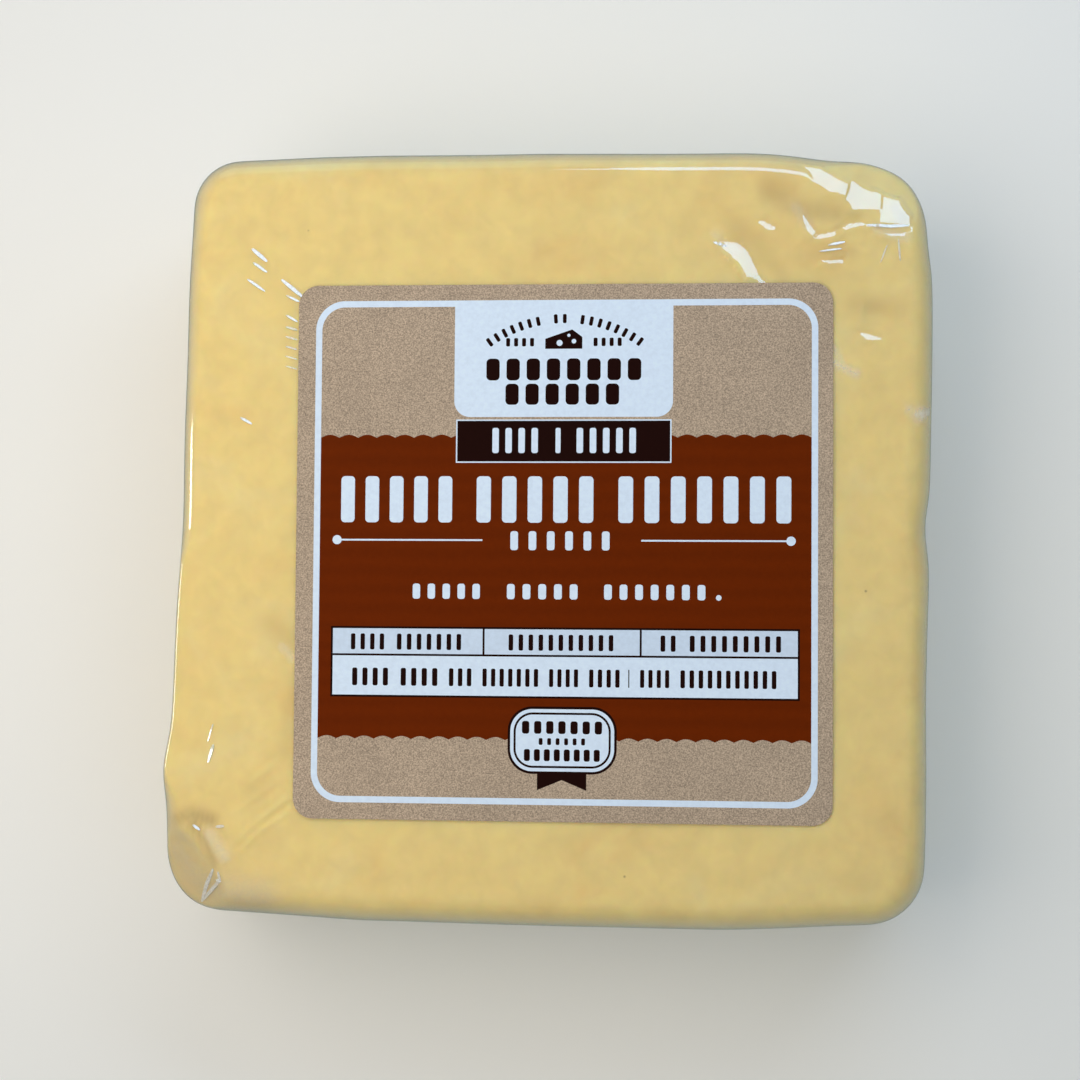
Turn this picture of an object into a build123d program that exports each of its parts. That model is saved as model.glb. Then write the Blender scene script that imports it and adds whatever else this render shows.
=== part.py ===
"""A square block of cheddar sealed in tight clear film, with a paper label stuck on top of the film.

The sealed block is one solid: cheese and film touch all over, and the film is far thinner than a
millimetre. Frame: millimetres, +Z up out of the labelled face, +Y towards the label's upper edge,
and the origin at the middle of the flat underside that the block rests on.
"""

import os
from collections import namedtuple
from math import cos, radians, sin

from build123d import *

# The sealed block as a true rectangle, which its cut corners and bowed sides then fall short of
block_width = 92.5  # along X
block_length = 93.1  # along Y
block_height = 25.6

# A wire-cut corner misses the true rectangle by short_x and short_y. radius is its rounding in plan.
Corner = namedtuple("Corner", "side_x side_y short_x short_y radius")
near_left = Corner(-1, -1, short_x=0.1, short_y=1.7, radius=7.6)
near_right = Corner(1, -1, short_x=1.8, short_y=1.2, radius=6.9)
far_right = Corner(1, 1, short_x=0.5, short_y=1.9, radius=11.0)
far_left = Corner(-1, 1, short_x=2.8, short_y=1.0, radius=6.0)
corners = (near_left, near_right, far_right, far_left)

# How far the middle of each side swells past the line between its two corners, in the same order
near_swell = 1.3
right_swell = 0.1
far_swell = 1.2
left_swell = 0.1
swells = (near_swell, right_swell, far_swell, left_swell)

head_round = 4.0  # radius along the upper edge, where the film is pulled over the cheese
foot_round = 3.5  # radius along the lower edge

# Film drawn straight across a rounded corner leaves a flat facet there. azimuth and elevation give
# the facet's direction in degrees, and depth is how far it cuts below the rounding.
Facet = namedtuple("Facet", "azimuth elevation depth")
facets = (
    Facet(azimuth=-154, elevation=46, depth=1.5),  # near left, the dented corner
    Facet(azimuth=58, elevation=60, depth=0.8),  # far right, its two big folds
    Facet(azimuth=30, elevation=60, depth=0.8),
)
skin_tolerance = 0.02  # facets are measured in from the skin to this accuracy

# The label is a square of paper, set by the bare band of film left on each side of it
label_thickness = 0.2
label_round = 2.4
bare_left = 16.5
bare_right = 12.5
bare_far = 16.8
bare_near = 12.8


def cut_corner(corner):
    """Where two sides of the block would meet if its corner weren't rounded."""
    return Vector(
        corner.side_x * (block_width / 2 - corner.short_x),
        corner.side_y * (block_length / 2 - corner.short_y),
    )


def facet_plane(solid, facet):
    """The plane of a facet, its normal outwards, its depth in from the outermost skin that way."""
    level_part = cos(radians(facet.elevation))
    normal = Vector(
        level_part * cos(radians(facet.azimuth)),
        level_part * sin(radians(facet.azimuth)),
        sin(radians(facet.elevation)),
    )
    skin_points, _ = solid.tessellate(skin_tolerance)
    reach = max(point.dot(normal) for point in skin_points)
    return Plane(origin=normal * (reach - facet.depth), z_dir=normal)


# The sealed block: four bowed sides, rounded along head and foot, then flattened at the folds
points = [cut_corner(corner) for corner in corners]

with BuildPart() as sealed_block:
    with BuildSketch() as plan:
        with BuildLine():
            for start, end, swell in zip(points, points[1:] + points[:1], swells):
                SagittaArc(start, end, -swell)
        make_face()
        for point, corner in zip(points, corners):
            fillet(plan.vertices().sort_by_distance(point)[0], corner.radius)
    extrude(amount=block_height)
    fillet(sealed_block.faces().sort_by(Axis.Z)[-1].edges(), head_round)
    fillet(sealed_block.faces().sort_by(Axis.Z)[0].edges(), foot_round)
    for facet in facets:
        split(bisect_by=facet_plane(sealed_block.part, facet), keep=Keep.BOTTOM)

# The label: flat on the block's head, its edges set in by the bare bands
label_width = block_width - bare_left - bare_right
label_length = block_length - bare_near - bare_far
label_middle = ((bare_left - bare_right) / 2, (bare_near - bare_far) / 2)

with BuildPart() as label:
    with BuildSketch(Plane.XY.offset(block_height)):
        with Locations(label_middle):
            RectangleRounded(label_width, label_length, label_round)
    extrude(amount=label_thickness)

# Both pieces move together so that the origin is at the middle of the finished block's underside
middle = sealed_block.part.bounding_box().center()
to_origin = Location((-middle.X, -middle.Y, 0))

sealed_block.part.move(to_origin)
label.part.move(to_origin)

os.makedirs("parts", exist_ok=True)
sealed_block.part.label = "sealed_block"
export_step(sealed_block.part, "parts/sealed_block.step")
label.part.label = "label"
export_step(label.part, "parts/label.step")
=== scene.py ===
"""Looks for a square block of cheddar sealed in clear shrink film, with a printed kraft label.

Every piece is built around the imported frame: the film takes the plan of the sealed block's own side
walls, the cheese fills it, and the label lies where the frame's label lies. Working sizes in this
file are millimetres in the frame's axes, turned to metres when a mesh is made.
"""

from math import cos, pi, radians, sin, tan

import bmesh
import bpy
import numpy as np
from mathutils import Matrix, Vector
from mathutils.bvhtree import BVHTree
from mathutils.geometry import delaunay_2d_cdt


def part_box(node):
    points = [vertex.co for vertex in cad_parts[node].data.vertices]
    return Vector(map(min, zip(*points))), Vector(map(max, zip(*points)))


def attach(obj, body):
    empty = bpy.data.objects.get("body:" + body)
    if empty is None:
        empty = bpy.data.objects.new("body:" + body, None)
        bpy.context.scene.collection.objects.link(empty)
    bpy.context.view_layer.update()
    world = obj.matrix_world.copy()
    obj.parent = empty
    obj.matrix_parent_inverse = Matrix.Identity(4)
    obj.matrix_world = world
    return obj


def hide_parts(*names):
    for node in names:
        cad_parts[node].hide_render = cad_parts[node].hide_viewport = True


bl_info = {
    "name": "Film-sealed cheddar",
    "version": (1, 0, 0),
    "blender": (4, 5, 0),
    "location": "View3D > Sidebar > Cheddar",
    "description": "Builds a block of cheddar in shrink film with a kraft label",
    "category": "Add Mesh",
}

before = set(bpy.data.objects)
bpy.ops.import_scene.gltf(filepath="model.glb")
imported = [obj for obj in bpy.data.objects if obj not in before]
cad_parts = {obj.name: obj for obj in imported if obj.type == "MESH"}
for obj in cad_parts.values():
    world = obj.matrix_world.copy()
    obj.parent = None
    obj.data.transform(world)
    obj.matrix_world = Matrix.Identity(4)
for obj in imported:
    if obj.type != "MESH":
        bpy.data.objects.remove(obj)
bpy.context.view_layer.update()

MM = 0.001
BLOCK = "sealed_block"
LABEL = "label"
BLOCK_SKIN = BVHTree.FromObject(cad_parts[BLOCK], bpy.context.evaluated_depsgraph_get())


def node_box(name):
    """Lowest and highest corner of a frame node, in millimetres."""
    low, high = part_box(name)
    return np.array(low) / MM, np.array(high) / MM


BLOCK_LOW, BLOCK_HIGH = node_box(BLOCK)
LABEL_LOW, LABEL_HIGH = node_box(LABEL)
HEAD = BLOCK_HIGH[2]
LABEL_MIDDLE = (LABEL_LOW[:2] + LABEL_HIGH[:2]) / 2
LABEL_HALF = (LABEL_HIGH[:2] - LABEL_LOW[:2]) / 2


# ---------------------------------------------------------------------------- sizes and colours


def colour_property(name, description, default):
    """A colour the user can change, given as an sRGB hex value."""
    return bpy.props.StringProperty(name=name, description=description, default=default)


def length_property(name, description, default):
    """A length the user can change, in millimetres."""
    return bpy.props.FloatProperty(name=name, description=description, default=default, min=0.0)


class WrapSettings(bpy.types.PropertyGroup):
    """Sizes of the film and of the cheese inside it."""

    head_round: length_property("Upper rounding", "Radius along the far and near edges, mm", 3.5)
    crisp_round: length_property("Crisp rounding", "Radius of the right edge and half the left, mm", 2.7)
    left_round: length_property("Tight rounding", "Radius of the other half of the left edge, mm", 0.7)
    foot_round: length_property("Lower rounding", "Radius along the lower edge, mm", 3.5)
    underside_rise: length_property("Underside rise", "How far the underside is dished, mm", 0.25)
    lump_height: length_property("Lump height", "Height of the soft unevenness of the cut, mm", 0.10)
    cheese_gap: length_property("Cheese gap", "How far the cheese lies inside the film, mm", 0.10)
    fine_step: length_property("Fine step", "Mesh step where the film is folded, mm", 0.22)
    coarse_step: length_property("Coarse step", "Mesh step along plain film, mm", 0.62)


class CheeseSettings(bpy.types.PropertyGroup):
    """Colours of the cheese, and the sizes of its patches."""

    body: colour_property("Body", "Pale yellow of the cut face", "#F6DF95")
    warm: colour_property("Warm patches", "Slightly deeper yellow where the curd is drier", "#EEC87C")
    pale: colour_property("Pale patches", "Paler, fattier curd", "#F6E4A4")
    mottle_size: length_property("Mottle size", "Width of the cloudy patches, mm", 14.0)
    curd_size: length_property("Curd size", "Width of the pressed curds, mm", 3.2)


class LabelSettings(bpy.types.PropertyGroup):
    """Colours of the label and its inks."""

    kraft: colour_property("Kraft", "Unbleached paper", "#AD9A87")
    white_ink: colour_property("White ink", "Opaque white flood coat", "#D8E9FF")
    grey_ink: colour_property("Grey ink", "Screened white of the table's upper row", "#CCDDF4")
    brown_ink: colour_property("Brown ink", "Band across the label", "#632200")
    dark_ink: colour_property("Dark ink", "Lines and small shapes", "#1E0906")


class StageSettings(bpy.types.PropertyGroup):
    """The floor, the lights and the camera."""

    floor: colour_property("Floor", "Pale matt board", "#F6F6F6")
    lens: bpy.props.FloatProperty(
        name="Lens", description="Focal length", default=70.6, min=1.0, unit="CAMERA"
    )


# ---------------------------------------------------------------------------- nodes and materials


def linear(hex_value):
    """An sRGB hex colour as linear red, green, blue and alpha."""
    channels = [int(hex_value[i : i + 2], 16) / 255 for i in (1, 3, 5)]
    return [c / 12.92 if c <= 0.04045 else ((c + 0.055) / 1.055) ** 2.4 for c in channels] + [1.0]


def new_material(name):
    """An empty node material and its tree."""
    material = bpy.data.materials.new(name)
    material.use_nodes = True
    material.node_tree.nodes.clear()
    return material, material.node_tree


def grey(value):
    """A linear grey as a colour."""
    return [value, value, value, 1.0]


def cells(size):
    """The scale of a pattern whose cells are about size millimetres wide."""
    return 1 / (size * MM)


def add_node(tree, kind, output, sockets=None, stops=(), interpolation="LINEAR", **settings):
    """Add one node with its settings and links, and give one of its outputs.

    Each input socket is filled or linked. A ramp runs through its stops, each a position and a
    linear colour, or a position and a number for a grey.
    """
    node = tree.nodes.new("ShaderNode" + kind)
    for name, value in settings.items():
        setattr(node, name, value)
    for socket, value in (sockets or {}).items():
        if isinstance(value, bpy.types.NodeSocket):
            tree.links.new(value, node.inputs[socket])
        else:
            node.inputs[socket].default_value = value
    if stops:
        node.color_ramp.interpolation = interpolation
        elements = node.color_ramp.elements
        while len(elements) < len(stops):
            elements.new(1.0)
        for element, (position, colour) in zip(elements, stops):
            element.position = position
            element.color = colour if isinstance(colour, list) else grey(colour)
    return None if output is None else node.outputs[output]


# The Mix node's settings for mixing two colours and for multiplying them, and its sockets for that
MIXED = {"data_type": "RGBA", "blend_type": "MIX", "clamp_result": True}
MULTIPLIED = {**MIXED, "blend_type": "MULTIPLY"}
AMOUNT, FIRST, SECOND, RESULT = 0, 6, 7, 2


def aged_cheddar():
    """Aged cheddar, wire cut and pressed smooth by the vacuum.

    The eye gets a waxy pale yellow with light bleeding a little way in, cloudy warm and pale
    patches, the faint outline of pressed curds, and a few dark specks. Shade in the hollows and
    creases of the folds, and over the near left corner, is painted into the colour.
    """
    settings = bpy.context.scene.cheese_settings
    material, tree = new_material("Aged cheddar, wire cut")
    place = add_node(tree, "TexCoord", "Object")
    sockets = {
        "Vector": place,
        "Scale": cells(settings.mottle_size),
        "Detail": 3.0,
        "Roughness": 0.55,
        "Distortion": 0.6,
    }
    clouds = add_node(tree, "TexNoise", "Fac", sockets)
    sockets = {
        "Vector": place,
        "Scale": cells(settings.curd_size),
        "Detail": 4.0,
        "Roughness": 0.6,
        "Distortion": 0.3,
    }
    curds = add_node(tree, "TexNoise", "Fac", sockets)
    stops = [(0.50, 0.0), (0.74, 0.45)]
    warm_amount = add_node(tree, "ValToRGB", "Color", {"Fac": clouds}, stops, "EASE")
    stops = [(0.28, 0.7), (0.46, 0.0)]
    pale_amount = add_node(tree, "ValToRGB", "Color", {"Fac": clouds}, stops, "EASE")
    sockets = {AMOUNT: warm_amount, FIRST: linear(settings.body), SECOND: linear(settings.warm)}
    colour = add_node(tree, "Mix", RESULT, sockets, **MIXED)
    sockets = {AMOUNT: pale_amount, FIRST: colour, SECOND: linear(settings.pale)}
    colour = add_node(tree, "Mix", RESULT, sockets, **MIXED)
    curd_tint = add_node(tree, "ValToRGB", "Color", {"Fac": curds}, [(0.30, 0.93), (0.70, 1.04)])
    sockets = {AMOUNT: 1.0, FIRST: colour, SECOND: curd_tint}
    colour = add_node(tree, "Mix", RESULT, sockets, **MULTIPLIED)
    # Painted shade: the cheese is darkened towards an olive brown, broken up by the curds, where its
    # painted shade values are high
    painted_shade = add_node(tree, "Attribute", "Fac", attribute_name="painted_shade")
    painted_shade_amount = add_node(tree, "ValToRGB", "Color", {"Fac": painted_shade}, [(0.0, 0.0), (1.0, 0.62)])
    patchy = add_node(tree, "ValToRGB", "Color", {"Fac": curds}, [(0.36, 0.45), (0.62, 1.0)])
    sockets = {AMOUNT: 1.0, FIRST: painted_shade_amount, SECOND: patchy}
    painted_shade_amount = add_node(tree, "Mix", RESULT, sockets, **MULTIPLIED)
    # The olive brown of the painted shade
    sockets = {AMOUNT: painted_shade_amount, FIRST: colour, SECOND: linear("#B89C60")}
    colour = add_node(tree, "Mix", RESULT, sockets, **MIXED)
    distance = add_node(tree, "TexVoronoi", "Distance", {"Vector": place, "Scale": cells(5.5)})
    chance = distance.node.outputs["Color"]
    specks = add_node(tree, "ValToRGB", "Color", {"Fac": distance}, [(0.020, 1.0), (0.034, 0.0)])
    few = add_node(tree, "ValToRGB", "Color", {"Fac": chance}, [(0.62, 0.0), (0.66, 0.55)])
    sockets = {AMOUNT: 1.0, FIRST: specks, SECOND: few}
    speck_amount = add_node(tree, "Mix", RESULT, sockets, **MULTIPLIED)
    sockets = {AMOUNT: speck_amount, FIRST: colour, SECOND: linear("#8A7240")}
    colour = add_node(tree, "Mix", RESULT, sockets, **MIXED)
    sockets = {"Vector": place, "Scale": cells(0.9), "Detail": 3.0, "Roughness": 0.6}
    grain = add_node(tree, "TexNoise", "Fac", sockets)
    sockets = {"Strength": 0.25, "Distance": 0.05 * MM, "Height": grain}
    grainy = add_node(tree, "Bump", "Normal", sockets)
    sockets = {
        "Base Color": colour,
        "Roughness": 0.55,
        "IOR": 1.45,
        "Subsurface Weight": 0.55,
        "Subsurface Radius": (1.0, 0.62, 0.22),
        "Subsurface Scale": 2.2 * MM,
        "Normal": grainy,
    }
    surface = add_node(tree, "BsdfPrincipled", "BSDF", sockets)
    add_node(tree, "OutputMaterial", None, {"Surface": surface})
    return material


FILM_IOR = 1.49  # polyolefin


def shrink_film():
    """Co-extruded polyolefin shrink film, blown, stretched and shrunk on.

    The eye gets a thin clear skin that shows where it throws light back, more so towards the edge-on
    view, with a faint waviness in the shine, a haze that thickens edge-on, and milky creases.
    """
    material, tree = new_material("Polyolefin shrink film, clear")
    place = add_node(tree, "TexCoord", "Object")
    waviness = add_node(tree, "TexNoise", "Fac", {"Vector": place, "Scale": cells(1.6)})
    sockets = {"Strength": 0.10, "Distance": 0.05 * MM, "Height": waviness}
    wavy = add_node(tree, "Bump", "Normal", sockets)
    sockets = {"Color": grey(1.0), "Roughness": 0.07, "Normal": wavy}
    shine = add_node(tree, "BsdfGlossy", "BSDF", sockets, distribution="GGX")
    edge_on = add_node(tree, "LayerWeight", "Facing", {"Blend": 0.5})
    stops = [(0.05, 0.985), (0.5, 0.92), (1.0, 0.80)]
    tint = add_node(tree, "ValToRGB", "Color", {"Fac": edge_on}, stops)
    clear = add_node(tree, "BsdfTransparent", "BSDF", {"Color": tint})
    milk = add_node(tree, "Attribute", "Fac", attribute_name="milk")
    sockets = {"Vector": place, "Scale": cells(0.35), "Detail": 3.0, "Roughness": 0.7}
    bubbles = add_node(tree, "TexNoise", "Fac", sockets)
    cloudy = add_node(tree, "ValToRGB", "Color", {"Fac": bubbles}, [(0.35, 0.55), (0.65, 1.0)])
    sockets = {AMOUNT: 1.0, FIRST: milk, SECOND: cloudy}
    milk = add_node(tree, "Mix", RESULT, sockets, **MULTIPLIED)
    haze = add_node(tree, "BsdfDiffuse", "BSDF", {"Color": linear("#F0F3F3")})
    sockets = {"Value": milk, "To Min": 0.01, "To Max": 0.75}
    creased_haze = add_node(tree, "MapRange", "Result", sockets)
    sockets = {"Value": edge_on, "From Min": 0.12, "To Max": 0.55}
    edge_haze = add_node(tree, "MapRange", "Result", sockets)
    sockets = {0: creased_haze, 1: edge_haze}
    haze_amount = add_node(tree, "Math", "Value", sockets, operation="MAXIMUM")
    behind = add_node(tree, "NewGeometry", "Backfacing")
    sockets = {"Value": behind, "To Min": FILM_IOR, "To Max": 1 / FILM_IOR}
    index = add_node(tree, "MapRange", "Result", sockets)
    one_face = add_node(tree, "Fresnel", "Fac", {"IOR": index, "Normal": wavy})
    # Light comes back from both faces of the film
    doubled = {"operation": "MULTIPLY", "use_clamp": True}
    thrown_back = add_node(tree, "Math", "Value", {0: one_face, 1: 2.0}, **doubled)
    skin = add_node(tree, "MixShader", "Shader", {0: haze_amount, 1: clear, 2: haze})
    film = add_node(tree, "MixShader", "Shader", {0: thrown_back, 1: skin, 2: shine})
    add_node(tree, "OutputMaterial", None, {"Surface": film})
    return material


def kraft_paper():
    """Unbleached kraft label stock, uncoated.

    The eye gets a matt brown-grey paper, flecked all over with light and dark fibres.
    """
    settings = bpy.context.scene.label_settings
    material, tree = new_material("Kraft paper, uncoated")
    place = add_node(tree, "TexCoord", "Object")
    # The fibres are drawn a little coarser than real ones, so that they show
    sockets = {"Vector": place, "Scale": cells(0.17), "Roughness": 0.7}
    flecks = add_node(tree, "TexNoise", "Fac", sockets)
    clouds = add_node(tree, "TexNoise", "Fac", {"Vector": place, "Scale": cells(6.0)})
    stops = [(0.32, 0.55), (0.5, 1.0), (0.66, 1.42)]
    tone = add_node(tree, "ValToRGB", "Color", {"Fac": flecks}, stops)
    cloud_tone = add_node(tree, "ValToRGB", "Color", {"Fac": clouds}, [(0.3, 0.95), (0.7, 1.05)])
    sockets = {AMOUNT: 1.0, FIRST: linear(settings.kraft), SECOND: tone}
    colour = add_node(tree, "Mix", RESULT, sockets, **MULTIPLIED)
    sockets = {AMOUNT: 1.0, FIRST: colour, SECOND: cloud_tone}
    colour = add_node(tree, "Mix", RESULT, sockets, **MULTIPLIED)
    sockets = {"Strength": 0.35, "Distance": 0.03 * MM, "Height": flecks}
    fibrous = add_node(tree, "Bump", "Normal", sockets)
    sockets = {"Base Color": colour, "Roughness": 0.86, "IOR": 1.45, "Normal": fibrous}
    surface = add_node(tree, "BsdfPrincipled", "BSDF", sockets)
    add_node(tree, "OutputMaterial", None, {"Surface": surface})
    return material


def printed_ink(name, colour, roughness, banding=0.0):
    """Flexographic ink on kraft paper, opaque.

    The eye gets an even, slightly satin colour with a trace of the paper's grain, and in a large
    dark field the fine level lines that the printing cylinder leaves.
    """
    material, tree = new_material(name)
    place = add_node(tree, "TexCoord", "Object")
    grain = add_node(tree, "TexNoise", "Fac", {"Vector": place, "Scale": cells(0.5)})
    tone = add_node(tree, "ValToRGB", "Color", {"Fac": grain}, [(0.3, 0.95), (0.7, 1.03)])
    sockets = {AMOUNT: 1.0, FIRST: linear(colour), SECOND: tone}
    ink = add_node(tree, "Mix", RESULT, sockets, **MULTIPLIED)
    if banding:
        sockets = {"Vector": place, "Scale": cells(7.0), "Distortion": 1.2, "Detail": 1.0}
        lines = add_node(tree, "TexWave", "Fac", sockets, bands_direction="Y")
        stops = [(0.0, 1.0), (1.0, 1.0 + banding)]
        line_tone = add_node(tree, "ValToRGB", "Color", {"Fac": lines}, stops)
        sockets = {AMOUNT: 1.0, FIRST: ink, SECOND: line_tone}
        ink = add_node(tree, "Mix", RESULT, sockets, **MULTIPLIED)
    sockets = {"Base Color": ink, "Roughness": roughness, "IOR": 1.45, "Specular IOR Level": 0.04}
    surface = add_node(tree, "BsdfPrincipled", "BSDF", sockets)
    add_node(tree, "OutputMaterial", None, {"Surface": surface})
    return material


def matt_board():
    """Matt painted board, sprayed. The eye gets an even pale ground with no shine."""
    material, tree = new_material("Matt painted board")
    place = add_node(tree, "TexCoord", "Object")
    shade = add_node(tree, "TexNoise", "Fac", {"Vector": place, "Scale": cells(60.0)})
    tone = add_node(tree, "ValToRGB", "Color", {"Fac": shade}, [(0.3, 0.985), (0.7, 1.0)])
    paint = linear(bpy.context.scene.stage_settings.floor)
    sockets = {AMOUNT: 1.0, FIRST: paint, SECOND: tone}
    colour = add_node(tree, "Mix", RESULT, sockets, **MULTIPLIED)
    surface = add_node(tree, "BsdfPrincipled", "BSDF", {"Base Color": colour, "Roughness": 0.9})
    add_node(tree, "OutputMaterial", None, {"Surface": surface})
    return material


# ---------------------------------------------------------------------------- the wrapped shape


def add_mesh_object(name, points, faces, materials, face_materials=None, smooth=True):
    """An object made from points in millimetres, faces and materials."""
    mesh = bpy.data.meshes.new(name)
    mesh.from_pydata([tuple(p) for p in np.asarray(points) * MM], [], faces)
    for material in materials:
        mesh.materials.append(material)
    if face_materials is not None:
        mesh.polygons.foreach_set("material_index", face_materials)
    mesh.polygons.foreach_set("use_smooth", [smooth] * len(mesh.polygons))
    mesh.update()
    piece = bpy.data.objects.new(name, mesh)
    bpy.context.scene.collection.objects.link(piece)
    return piece


def smooth_step(value, low, high):
    """0 below low, 1 above high, and an even S between them."""
    t = np.clip((value - low) / (high - low), 0, 1)
    return t * t * (3 - 2 * t)


def bell(distance, reach):
    """1 at no distance, and almost nothing beyond twice the reach."""
    return np.exp(-((distance / reach) ** 2))


def plan_outline():
    """The block's plan at mid height, read from the frame's own side walls and evened out."""
    count, reach, spread = 1440, 6, 2.6
    middle = Vector((0, 0, (BLOCK_LOW[2] + HEAD) / 2 * MM))
    points = []
    for i in range(count):
        way = Vector((cos(2 * pi * i / count), sin(2 * pi * i / count), 0))
        hit, _, _, _ = BLOCK_SKIN.ray_cast(middle, way)
        points.append((hit.x / MM, hit.y / MM))
    points = np.array(points)
    neighbours = np.arange(-reach, reach + 1)
    weights = bell(neighbours, spread)
    weights /= weights.sum()
    return sum(w * np.roll(points, -k, axis=0) for k, w in zip(neighbours, weights))


# Where the film is folded, and so needs a finer mesh: x, y and reach
FOLDED_PLACES = ((38, 38, 14), (-42, -36, 13))
FOLDED_FADE = 9  # over which the mesh coarsens again


def sampled_outline(fine_step, coarse_step):
    """The plan's points at mesh spacing, finer near the folds, with their inward normals."""
    outline = plan_outline()
    ahead = np.roll(outline, -1, axis=0)
    lengths = np.linalg.norm(ahead - outline, axis=1)
    step = np.full(len(outline), float(coarse_step))
    for x, y, reach in FOLDED_PLACES:
        away = np.hypot(outline[:, 0] - x, outline[:, 1] - y)
        coarseness = smooth_step(away, reach, reach + FOLDED_FADE)
        step = np.minimum(step, fine_step + (coarse_step - fine_step) * coarseness)
    travelled = np.concatenate([[0], np.cumsum(lengths / step)])
    count = int(round(travelled[-1]))
    wanted = np.arange(count) * travelled[-1] / count
    closed = np.vstack([outline, outline[:1]])
    points = np.stack([np.interp(wanted, travelled, closed[:, k]) for k in (0, 1)], axis=1)
    along = np.roll(points, -1, axis=0) - np.roll(points, 1, axis=0)
    along /= np.linalg.norm(along, axis=1)[:, None]
    inward = np.stack([-along[:, 1], along[:, 0]], axis=1)
    return points, inward


# Where the film pulls the side walls in, or the cheese bulges them out: x, y, depth and reach
WALL_WAVES = (
    (45.4, 1.0, 0.55, 3.4),
    (46.0, 18.0, -0.15, 9.0),
    (45.5, 35.1, 0.52, 3.4),
    (42.8, 42.4, -0.30, 3.0),
    (34.6, 44.8, 0.42, 4.4),
    (24.4, 45.6, -0.25, 6.0),
    (-8.4, 45.7, 0.20, 8.0),
    (-42.8, 30.4, -0.22, 7.0),
    (-43.7, 0.9, 0.35, 8.0),
    (-46.0, -28.1, -0.75, 4.0),
    (-43.4, -43.0, -0.30, 3.4),
    (20.0, -46.2, -0.22, 9.0),
    (-22.3, -46.0, -0.20, 6.0),
)


# Where one upper rounding fades into the next: the long edges by distance from the middle in y, the
# left edge by distance from it in x, and the tight half of the left edge by y at each of its ends
LONG_EDGES = (35.0, 42.0)
LEFT_EDGE = (38.0, 42.0)
TIGHT_FROM = (-33.0, -28.0)
TIGHT_TO = (-4.0, 1.0)
FRAME_ROUND = 4.0  # radius of the frame's own upper edges
# How far the wall is drawn in for each millimetre its upper edge is crisper than the frame's, and
# how much that grows from the right side to the left
CRISP_DRAW = 0.16
CRISP_DRAW_ACROSS = 0.07
UNDER_LABEL = 2.0  # how far the fine mesh of the face runs in under the label
INNER_SHARES = (0.3, 0.75)  # coarse rings further in, as shares of the way out
# How much coarser than the face its upper rounding, the walls and the lower rounding are meshed
HEAD_COARSER, WALL_COARSER, FOOT_COARSER = 1.15, 4, 2.4
UNDERSIDE_SHARES = (0.94, 0.86, 0.7, 0.4)  # rings of the underside, as shares of the way out
DISH_EDGE = 0.16  # the share of the way in over which the underside rises


def upper_rounding(plan):
    """Radius of the upper rounding at each point of the plan."""
    settings = bpy.context.scene.wrap_settings
    long_edges = smooth_step(np.abs(plan[:, 1]), *LONG_EDGES)
    tight = smooth_step(-plan[:, 0], *LEFT_EDGE)
    tight *= smooth_step(plan[:, 1], *TIGHT_FROM) - smooth_step(plan[:, 1], *TIGHT_TO)
    radius = settings.crisp_round + (settings.head_round - settings.crisp_round) * long_edges
    return radius + (settings.left_round - settings.crisp_round) * tight


def wrapped_rings(fine_step, coarse_step, top_step):
    """The wrapped block as rings of points, from under the label out, down and under."""
    settings = bpy.context.scene.wrap_settings
    plan, inward = sampled_outline(fine_step, coarse_step)
    for x, y, depth, reach in WALL_WAVES:
        away = np.hypot(plan[:, 0] - x, plan[:, 1] - y)
        plan = plan + inward * (depth * bell(away, reach))[:, None]
    head = upper_rounding(plan)
    # A crisper edge bares more of the wall below it, so the wall is drawn in to keep the outline
    drawn_in = (CRISP_DRAW + CRISP_DRAW_ACROSS * inward[:, 0]) * (FRAME_ROUND - head)
    plan = plan + inward * drawn_in[:, None]
    foot = settings.foot_round

    def ring(inset, level):
        inset, level = np.broadcast_to(inset, len(plan)), np.broadcast_to(level, len(plan))
        return np.column_stack([plan + inward * inset[:, None], level])

    # The innermost ring lies under the label, where every ray from the middle meets its inset edge
    edge = ring(head, HEAD)
    way = edge[:, :2] - LABEL_MIDDLE
    share = np.min((LABEL_HALF - UNDER_LABEL) / np.abs(way), axis=1)
    inner = np.column_stack([LABEL_MIDDLE + way * share[:, None], edge[:, 2]])

    centre = np.array([*LABEL_MIDDLE, 0])
    rings = [inner * (s, s, 1) + centre * (1 - s, 1 - s, 0) for s in INNER_SHARES]
    band_count = int(np.linalg.norm(edge - inner, axis=1).mean() / top_step)
    rings += [inner + (edge - inner) * i / band_count for i in range(band_count)]
    head_count = int(settings.head_round * pi / 2 / (top_step * HEAD_COARSER))
    for i in range(head_count):
        turn = pi / 2 * (1 - i / head_count)
        rings.append(ring(head * (1 - cos(turn)), HEAD - head * (1 - sin(turn))))
    wall = HEAD - head - foot
    wall_count = int(wall.mean() / (top_step * WALL_COARSER))
    rings += [ring(0, HEAD - head - wall * i / wall_count) for i in range(wall_count)]
    foot_count = int(foot * pi / 2 / (top_step * FOOT_COARSER))
    for i in range(foot_count + 1):
        turn = pi / 2 * i / foot_count
        rings.append(ring(foot * (1 - cos(turn)), foot * (1 - sin(turn))))
    last = rings[-1]
    for share in UNDERSIDE_SHARES:
        rise = settings.underside_rise * smooth_step(1 - share, 0.0, DISH_EDGE)
        rings.append(np.column_stack([last[:, :2] * share, np.full(len(last), rise)]))
    return np.array(rings)


def ring_normals(rings):
    """Outward unit normals of a grid of rings."""
    across = np.gradient(rings, axis=0)
    along = np.roll(rings, -1, axis=1) - np.roll(rings, 1, axis=1)
    normals = np.cross(across, along)
    normals /= np.linalg.norm(normals, axis=2)[:, :, None] + 1e-12
    return normals


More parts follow.
